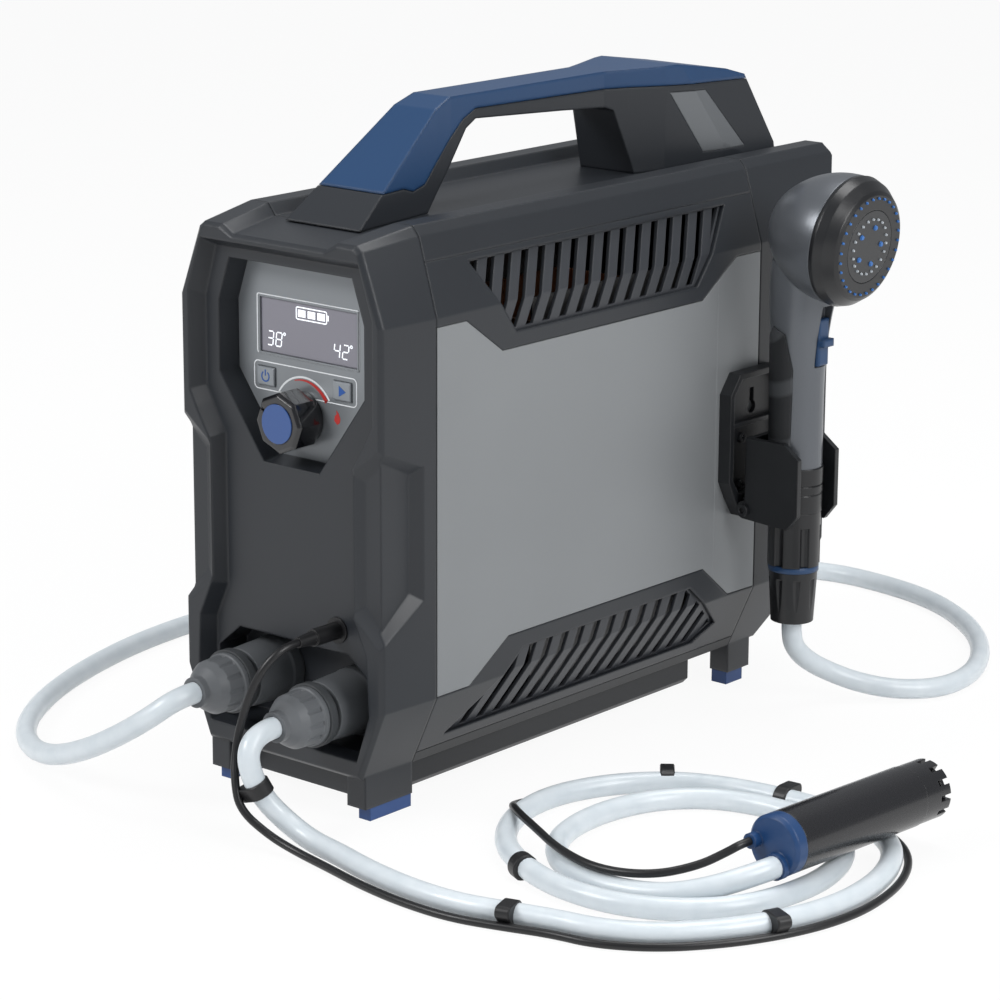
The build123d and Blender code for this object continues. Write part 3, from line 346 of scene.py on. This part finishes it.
SEGMENTS = {"2": "abged", "3": "abgcd", "4": "fgbc", "8": "abcdefg"}
SEGMENT_ENDS = {"a": (0, 2, 1, 2), "b": (1, 2, 1, 1), "c": (1, 1, 1, 0), "d": (0, 0, 1, 0),
                "e": (0, 1, 0, 0), "f": (0, 2, 0, 1), "g": (0, 1, 1, 1)}
DIGIT_LEAN = 0.12


def digit(mark, x, z, wide, high, thick):
    quads = []
    for key in SEGMENTS[mark]:
        ax, az, bx, bz = SEGMENT_ENDS[key]
        dx, dz = (bx - ax) * 0.12, (bz - az) * 0.08
        xs = [x + (ax + dx) * wide, x + (bx - dx) * wide]
        zs = [z + (az + dz) * high / 2, z + (bz - dz) * high / 2]
        quads.append(bar(xs[0] + DIGIT_LEAN * (zs[0] - z), zs[0],
                         xs[1] + DIGIT_LEAN * (zs[1] - z), zs[1], thick))
    return quads


glow_material, paint = new_paint("display_glow")
speck = paint.noise(0.002, 1.0)
paint.surface(paint.node("ShaderNodeBsdfPrincipled", {
    "Base Color": paint.mix_colour(speck, (0.85, 0.87, 0.9), (0.95, 0.96, 0.98)),
    "Roughness": 0.4, "Emission Color": (0.86, 0.92, 1.0, 1), "Emission Strength": 0.55}))
print_white = plastic("print_white", (0.78, 0.8, 0.82), 0.5, depth=0.05, edge=0.0001)
print_red = plastic("print_red", (0.50, 0.035, 0.03), 0.5, depth=0.05, edge=0.0001)
print_blue = plastic("print_blue", (0.02, 0.09, 0.33), 0.5, depth=0.05, edge=0.0001)

display_marks = []
for mark, x in (("3", -34.0), ("8", -27.0), ("4", 21.0), ("2", 28.0)):
    display_marks += digit(mark, x, DIGIT_FOOT_Z, 4.6, 8.6, 0.75)
for x in (-19.5, 35.5):
    display_marks += arc_band(x, 287.8, 0.5, 1.1, 0, 360, steps=10)
display_marks += rounded_frame(-9.5, 15.5, 298.8, 306.2, 1.2, 0.7)
display_marks += [bar(16.6, 300.8, 16.6, 304.2, 1.2)]
for x in (-5.0, 3.0, 11.0):
    display_marks.append(bar(x, 300.3, x, 304.7, 6.2))
flat_print("display_marks", display_marks, DISPLAY_FACE, glow_material, "unit")

plate_lines = rounded_frame(-41.6, 42.1, 274.0, 310.5, 1.4, 0.8)
plate_lines += rounded_frame(-44.5, 40.0, 251.4, 268.8, 3.0, 0.7)
plate_lines += arc_band(KNOB_X, KNOB_Z, 24.0, 25.2, -60, 57)
flat_print("plate_lines", plate_lines, PLATE_FACE, print_white, "unit")
heat_arc = arc_band(KNOB_X, KNOB_Z, 22.7, 23.3, -20, 57, end_r0=20.6)
flat_print("heat_arc", heat_arc, PLATE_FACE, print_red, "unit")
flame = [[(24, 238.5), (21.6, 240.8), (22.2, 243.8), (23.6, 245.0), (23.4, 247.4), (25.4, 245.4),
          (26.6, 242.4), (26.0, 239.8)]]
flat_print("flame_icon", flame, PLATE_FACE, print_red, "unit")
power_icon = arc_band(POWER_X, BUTTON_Z, 2.6, 3.5, 35, 325, steps=20)
power_icon += [bar(POWER_X, BUTTON_Z + 0.4, POWER_X, BUTTON_Z + 4.2, 0.9)]
flat_print("power_icon", power_icon, BUTTON_FACE, print_blue, "power_button")
start_icon = [[(27.0, 256.6), (27.0, 263.4), (32.6, 260.0)]]
flat_print("start_icon", start_icon, BUTTON_FACE, print_blue, "start_button")


# Knob: black gloss moulding with eight flats and a blue disc pressed into its face.
knob_gloss = plastic("knob_gloss", (0.006, 0.006, 0.008), 0.16, depth=0.02, edge=0.0015, coat=0.5)
dress(knob_gloss, "knob")
badge_blue = plastic("badge_blue", (0.012, 0.062, 0.23), 0.22, depth=0.02, edge=0.0006, coat=0.4)
dress(badge_blue, "knob_badge")


# Hose ports: grey nylon quick couplings, with a release sleeve and a ribbed nut on each hose.
port_nylon = plastic("port_nylon", (0.115, 0.122, 0.13), 0.45, depth=0.15, edge=0.0012)
dress(port_nylon, "hose_nuts", "shower_port_sleeve", "pump_port_sleeve")
dress(plastic("port_core", (0.05, 0.054, 0.058), 0.45), "hose_ports")
soft_black = plastic("soft_black", (0.009, 0.009, 0.010), 0.42, depth=0.1, edge=0.0006)
dress(soft_black, "dc_socket", "dc_plug")


# Holder: black bracket screwed through the panel, with a fork that tilts on one cross screw.
holder_plastic = plastic("holder_plastic", (0.008, 0.009, 0.011), 0.42, edge=0.001)
dress(holder_plastic, "holder_bracket", "holder_fork", "bracket_screws", "fork_screw")


# Handset: grey metallic shell with rubber pads, blue slider and blue ring at the coupling.
handset_shell = plastic("handset_shell", (0.125, 0.134, 0.148), 0.30, grain=0.0006, depth=0.05,
                        edge=0.001, metal=0.45)
dress(handset_shell, "handset_body")
handset_black = plastic("handset_black", (0.009, 0.0095, 0.011), 0.32, depth=0.08, edge=0.0012)
dress(handset_black, "spray_ring", "handset_coupling", "handset_nut", "handset_grip")
dress(blue_plastic, "flow_slider", "coupling_ring")


def contour_rubber():
    material, paint = new_paint("contour_rubber")
    position = paint.coords()
    place = paint.node("ShaderNodeMapping", {0: position, 1: (-0.11, -0.123, -0.27)})
    rings = paint.node("ShaderNodeTexWave", {"Vector": place, "Scale": 9.0, "Distortion": 1.2,
                                             "Detail": 0.0, "Detail Scale": 1.0}, out=1,
                       wave_type="RINGS", rings_direction="Y", wave_profile="SIN")
    line = paint.node("ShaderNodeValToRGB", {0: rings}, stops=[(0.78, 0.0), (0.92, 1.0)])
    grain = paint.noise(0.0006, 2.0)
    bump = paint.node("ShaderNodeBump", {"Strength": 0.6, "Distance": 0.0006,
                                         "Height": line + grain * 0.05})
    tone = paint.mix_colour(line, (0.014, 0.015, 0.017), (0.05, 0.053, 0.057))
    paint.surface(paint.node("ShaderNodeBsdfPrincipled", {
        "Base Color": tone, "Roughness": 0.5 + grain * 0.1, "Normal": bump}))
    return material


dress(contour_rubber(), "handset_pads")
face_black = plastic("face_black", (0.02, 0.021, 0.023), 0.3, depth=0.05, edge=0.0008)
dress(face_black, "nozzle_plate")


# Spray nozzles: soft tips in rings on the spray face, moulded in blue and clear silicone.
def nozzle_rings(name, rings, tip_r, tip_h, lift, material):
    tree = bpy.data.node_groups.new(name, "GeometryNodeTree")
    tree.interface.new_socket("Geometry", in_out="OUTPUT", socket_type="NodeSocketGeometry")
    tip_socket = tree.interface.new_socket("Tip radius", in_out="INPUT",
                                           socket_type="NodeSocketFloat")
    tip_socket.default_value = tip_r
    build = tree.nodes
    links = tree.links
    group_in = build.new("NodeGroupInput")
    group_out = build.new("NodeGroupOutput")
    tip = build.new("GeometryNodeMeshCone")
    tip.inputs["Vertices"].default_value = 10
    links.new(group_in.outputs["Tip radius"], tip.inputs["Radius Bottom"])
    tip.inputs["Radius Top"].default_value = tip_r * 0.7
    tip.inputs["Depth"].default_value = tip_h
    join = build.new("GeometryNodeJoinGeometry")
    for count, radius in rings:
        circle = build.new("GeometryNodeMeshCircle")
        circle.inputs["Vertices"].default_value = count
        circle.inputs["Radius"].default_value = radius
        move = build.new("GeometryNodeTransform")
        move.inputs["Translation"].default_value = (0, 0, lift)
        on_points = build.new("GeometryNodeInstanceOnPoints")
        links.new(circle.outputs[0], move.inputs[0])
        links.new(move.outputs[0], on_points.inputs["Points"])
        links.new(tip.outputs[0], on_points.inputs["Instance"])
        links.new(on_points.outputs[0], join.inputs[0])
    real = build.new("GeometryNodeRealizeInstances")
    paint_node = build.new("GeometryNodeSetMaterial")
    paint_node.inputs["Material"].default_value = material
    links.new(join.outputs[0], real.inputs[0])
    links.new(real.outputs[0], paint_node.inputs[0])
    links.new(paint_node.outputs[0], group_out.inputs[0])
    holder = bpy.data.objects.new(name + "_maker", bpy.data.meshes.new(name + "_maker"))
    scene.collection.objects.link(holder)
    modifier = holder.modifiers.new("rings", "NODES")
    modifier.node_group = tree
    modifier[tip_socket.identifier] = tip_r
    bpy.context.view_layer.update()
    mesh = bpy.data.meshes.new_from_object(holder.evaluated_get(
        bpy.context.evaluated_depsgraph_get()))
    bpy.data.objects.remove(holder)
    return mesh


HEAD_TILT = math.radians(7.0)
head_out = Vector((math.cos(HEAD_TILT), 0, -math.sin(HEAD_TILT)))
head_across = Vector((0, 1, 0))
head_up = head_out.cross(head_across)
head_place = Matrix.Translation((0.161, 0.123, 0.3215)) @ Matrix(
    (head_across, head_up, head_out)).transposed().to_4x4()


def spray_piece(name, rings, tip_r, tip_h, lift, material, body):
    mesh = nozzle_rings(name, rings, tip_r, tip_h, lift, material)
    mesh.transform(head_place)
    return piece(name, mesh, material, body)


nozzle_blue = plastic("nozzle_blue", (0.03, 0.14, 0.42), 0.4, depth=0.05, edge=0.0003)
nozzle_clear = plastic("nozzle_clear", (0.42, 0.45, 0.48), 0.3, depth=0.05, edge=0.0003)
spray_piece("outer_nozzles", [(30, 0.0315)], 0.0010, 0.0012, 0.0169, nozzle_blue,
            "spray_ring")
spray_piece("clear_nozzles", [(20, 0.0180)], 0.0010, 0.0011, 0.0170, nozzle_clear,
            "handset")
spray_piece("centre_nozzles", [(5, 0.0125)], 0.0019, 0.0012, 0.0170, nozzle_blue, "handset")


# Pump: black barrel that sinks in the water, blue end cap with hose collar and cable gland,
# toothed strainer at the other end.
pump_black = plastic("pump_black", (0.010, 0.010, 0.012), 0.28, depth=0.1, edge=0.0012, coat=0.2)
dress(pump_black, "pump_body", "pump_strainer")
dress(plastic("pump_blue", (0.012, 0.05, 0.15), 0.35, edge=0.0015), "pump_cap")


# Hoses: milky translucent tube, 13.5 mm across, lying in the loose turns that it left its
# packing with. The cable of the pump is black and runs with its hose.
def hose_paint():
    material, paint = new_paint("hose_milk")
    haze = paint.noise(0.012, 2.0)
    skin = paint.noise(0.0008, 2.0)
    tone = paint.mix_colour(haze, (0.56, 0.62, 0.66), (0.70, 0.745, 0.775))
    bump = paint.node("ShaderNodeBump", {"Strength": 0.05, "Distance": 0.0001, "Height": skin})
    paint.surface(paint.node("ShaderNodeBsdfPrincipled", {
        "Base Color": tone, "Roughness": 0.30 + haze * 0.08, "Normal": bump,
        "Subsurface Weight": 0.25, "Subsurface Radius": (0.006, 0.006, 0.006),
        "Coat Weight": 0.15}))
    return material


hose_milk = hose_paint()
cable_black = plastic("cable_black", (0.008, 0.008, 0.009), 0.38, depth=0.05, edge=0.0003)


def cord_curve(name, points, diameter, material):
    curve = bpy.data.curves.new(name, "CURVE")
    curve.dimensions = "3D"
    line = curve.splines.new("NURBS")
    line.points.add(len(points) - 1)
    for point, place in zip(line.points, points):
        point.co = (place[0] / 1000, place[1] / 1000, place[2] / 1000, 1)
    line.order_u = 3
    line.use_endpoint_u = True
    line.resolution_u = 10
    curve.resolution_u = 10
    curve.bevel_depth = diameter / 2000
    curve.bevel_resolution = 6
    curve.use_fill_caps = True
    curve.materials.append(material)
    made = bpy.data.objects.new(name, curve)
    scene.collection.objects.link(made)
    return made


HOSE = 13.5
CABLE = 5.0
LIE = HOSE / 2
PORT_END = -276.5
PUMP_TURN = math.radians(-4.46)


def pump_point(across, height, back_off):
    x = across * math.cos(PUMP_TURN) + back_off * math.sin(PUMP_TURN)
    y = across * math.sin(PUMP_TURN) - back_off * math.cos(PUMP_TURN)
    return (324.2 + x, -170.0 + y, 32.4 + height)


pump_hose_route = [
    (33.5, PORT_END, 66.5), (33.5, -289, 66.5), (34, -300, 58), (37, -300, 43), (43, -294, 27),
    (55, -287, 14), (73, -286, LIE), (98, -291, LIE), (130, -300, LIE), (168, -306, LIE),
    (205, -306, LIE), (236, -297, LIE), (262, -289, LIE), (290, -284, LIE), (318, -268, LIE),
    (341, -240, LIE), (356, -212, LIE), (366, -180, LIE), (368, -145, LIE), (360, -106, LIE),
    (342, -72, LIE), (315, -50, LIE), (280, -41, LIE), (240, -41, LIE), (200, -47, LIE),
    (166, -63, LIE), (140, -95, LIE), (128, -135, LIE), (136, -178, LIE), (160, -214, LIE),
    (194, -236, LIE), (230, -248, LIE), (268, -248, LIE), (302, -234, LIE), (328, -206, LIE),
    (337, -172, LIE), (338, -135, LIE), (326, -98, LIE), (302, -72, LIE), (270, -60, LIE),
    (236, -60, LIE), (204, -70, LIE), (180, -96, LIE), (170, -137, LIE), (176, -180, LIE),
    (196, -210, LIE), (226, -227, LIE), (258, -229, LIE), (288, -223, 9), (311, -208, 15),
    pump_point(4.5, -10.4, 13), pump_point(4.5, -10.4, 4),
]
cable_route = [
    (37, -259, 116), (37, -270, 116), (32, -281, 107), (26, -287, 92), (21, -291, 73),
    (20, -296, 54), (26, -303, 38), (34, -307, 23), (53, -302, 10), (74, -300, 4),
    (102, -304, 2.7), (135, -312, 2.7), (170, -317, 2.7), (207, -317, 2.7), (238, -308, 2.7),
    (266, -298, 2.7), (294, -294, 2.7), (325, -275, 2.7), (349, -245, 2.7), (365, -215, 2.7),
    (375.5, -181, 2.7), (377.6, -145, 2.7), (369, -102, 2.7), (349, -65, 2.7), (319, -41, 2.7),
    (281, -31.5, 2.7), (239, -31.5, 2.7), (196, -38, 2.7), (159, -56, 2.7), (131, -91, 2.7),
    (118.5, -135, 3), (124, -162, 8), (139, -180, 15.5), (156, -192, 17), (176, -203, 17),
    (207, -220, 16.3), (245, -231, 16.3), (277, -222, 18), (296, -203, 23), (306, -188, 30),
    pump_point(-12.4, 1.5, 14), pump_point(-12.4, 1.5, 6),
]
shower_hose_route = [
    (-33.5, PORT_END, 74), (-33.5, -291, 74), (-47, -303, 61), (-70, -306, 46),
    (-102, -304, 29), (-138, -297, 15), (-172, -284, 8), (-203, -264, LIE), (-230, -234, LIE),
    (-256, -190, LIE), (-277, -137, LIE), (-293, -75, LIE), (-299, -5, LIE), (-286, 70, LIE),
    (-250, 160, LIE), (-192, 250, LIE), (-120, 325, LIE),
]
shower_tail_route = [
    (-120, 325, LIE), (-76.8, 370, LIE), (-30, 393, LIE), (20, 391, LIE), (66, 380, LIE),
    (108, 356, LIE), (144, 324, LIE), (172, 285, LIE), (189, 245, LIE), (190, 208, LIE),
    (172, 182, 8), (152, 167, 12), (136, 153, 20), (128, 138, 30), (125.3, 127, 41),
    (125.3, 123, 51), (125.3, 123, 61.8),
]

pump_hose = cord_curve("pump_hose_line", pump_hose_route, HOSE, hose_milk)
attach(pump_hose, "unit")
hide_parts("pump_hose", "hose_coil", "pump_hose_tail")
pump_cable = cord_curve("pump_cable_line", cable_route, CABLE, cable_black)
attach(pump_cable, "unit")
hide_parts("pump_cable", "pump_cable_tail")
shower_hose = cord_curve("shower_hose_line", shower_hose_route, HOSE, hose_milk)
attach(shower_hose, "unit")
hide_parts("shower_hose")
tail_curve = cord_curve("shower_tail_curve", shower_tail_route, HOSE, hose_milk)
bpy.context.view_layer.update()
tail_mesh = bpy.data.meshes.new_from_object(
    tail_curve.evaluated_get(bpy.context.evaluated_depsgraph_get()))
tail_curve.data.bevel_depth = 0.0
bpy.context.view_layer.update()
tail_line = bpy.data.meshes.new_from_object(
    tail_curve.evaluated_get(bpy.context.evaluated_depsgraph_get()))
bpy.data.objects.remove(tail_curve)
tail_mesh.polygons.foreach_set("use_smooth", [True] * len(tail_mesh.polygons))
shower_tail = bpy.data.objects.new("shower_hose_end", tail_mesh)
scene.collection.objects.link(shower_tail)
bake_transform(shower_tail)
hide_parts("shower_hose_tail")


# Clips: black snap-on clips that hold the cable against its hose, and stand on the floor.
CLIP_R = 8.2
CLIP_CABLE_R = 3.9


def clip_mesh(name, place, along, side, cable_at):
    along = Vector(along).normalized()
    side = (Vector(side) - along * Vector(side).dot(along)).normalized()
    rise = along.cross(side)
    shape = bmesh.new()
    outline = []
    circles = ((0.0, 0.0, CLIP_R), (cable_at[0], cable_at[1], CLIP_CABLE_R))
    for cx, cz, r in circles:
        for i in range(28):
            a = 2 * math.pi * i / 28
            outline.append(shape.verts.new((cx + r * math.cos(a), cz + r * math.sin(a), 0)))
    hull = bmesh.ops.convex_hull(shape, input=outline)
    edge_verts = [v for v in shape.verts if v not in hull["geom_interior"]]
    points = [tuple(v.co) for v in edge_verts]
    shape.free()
    points.sort(key=lambda p: math.atan2(p[1] - cable_at[1] / 2, p[0] - cable_at[0] / 2))
    solid = bmesh.new()
    rows = []
    for depth, scale in ((-4.5, 0.93), (-3.9, 1.0), (3.9, 1.0), (4.5, 0.93)):
        row = []
        for px, pz, _ in points:
            x, z = px * scale, pz * scale
            spot = Vector(place) + side * x + rise * z + along * depth
            spot = spot / 1000
            row.append(solid.verts.new((spot.x, spot.y, max(0.0, spot.z))))
        rows.append(row)
    count = len(points)
    for a, b in zip(rows, rows[1:]):
        for i in range(count):
            j = (i + 1) % count
            solid.faces.new((a[i], a[j], b[j], b[i]))
    solid.faces.new(rows[0])
    solid.faces.new(list(reversed(rows[-1])))
    bmesh.ops.recalc_face_normals(solid, faces=solid.faces)
    mesh = bpy.data.meshes.new(name)
    solid.to_mesh(mesh)
    solid.free()
    return mesh


clip_places = [
    ((40, -297, 35), (6, 6, -16), (-9, -4, -2), (9.6, 0)),
    ((236, -297, LIE), (57, 17, 0), (2, -10, 0), (9.6, -4)),
    ((356, -212, LIE), (25, 60, 0), (9, -4, 0), (9.6, -4)),
    ((166, -63, LIE), (-60, -48, 0), (-6, 8, 0), (9.6, -4)),
    ((240, -41, LIE), (-80, -6, 0), (0, 10, 0), (9.6, -4)),
    ((194, -236, LIE), (70, -34, 0), (-4, -9, 0), (4, 0)),
]
for index, (place, along, side, cable_at) in enumerate(clip_places):
    mesh = clip_mesh(f"hose_clip_{index}", place, along, side, cable_at)
    made = piece(f"hose_clip_{index}", mesh, soft_black, "unit")
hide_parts("hose_clips")
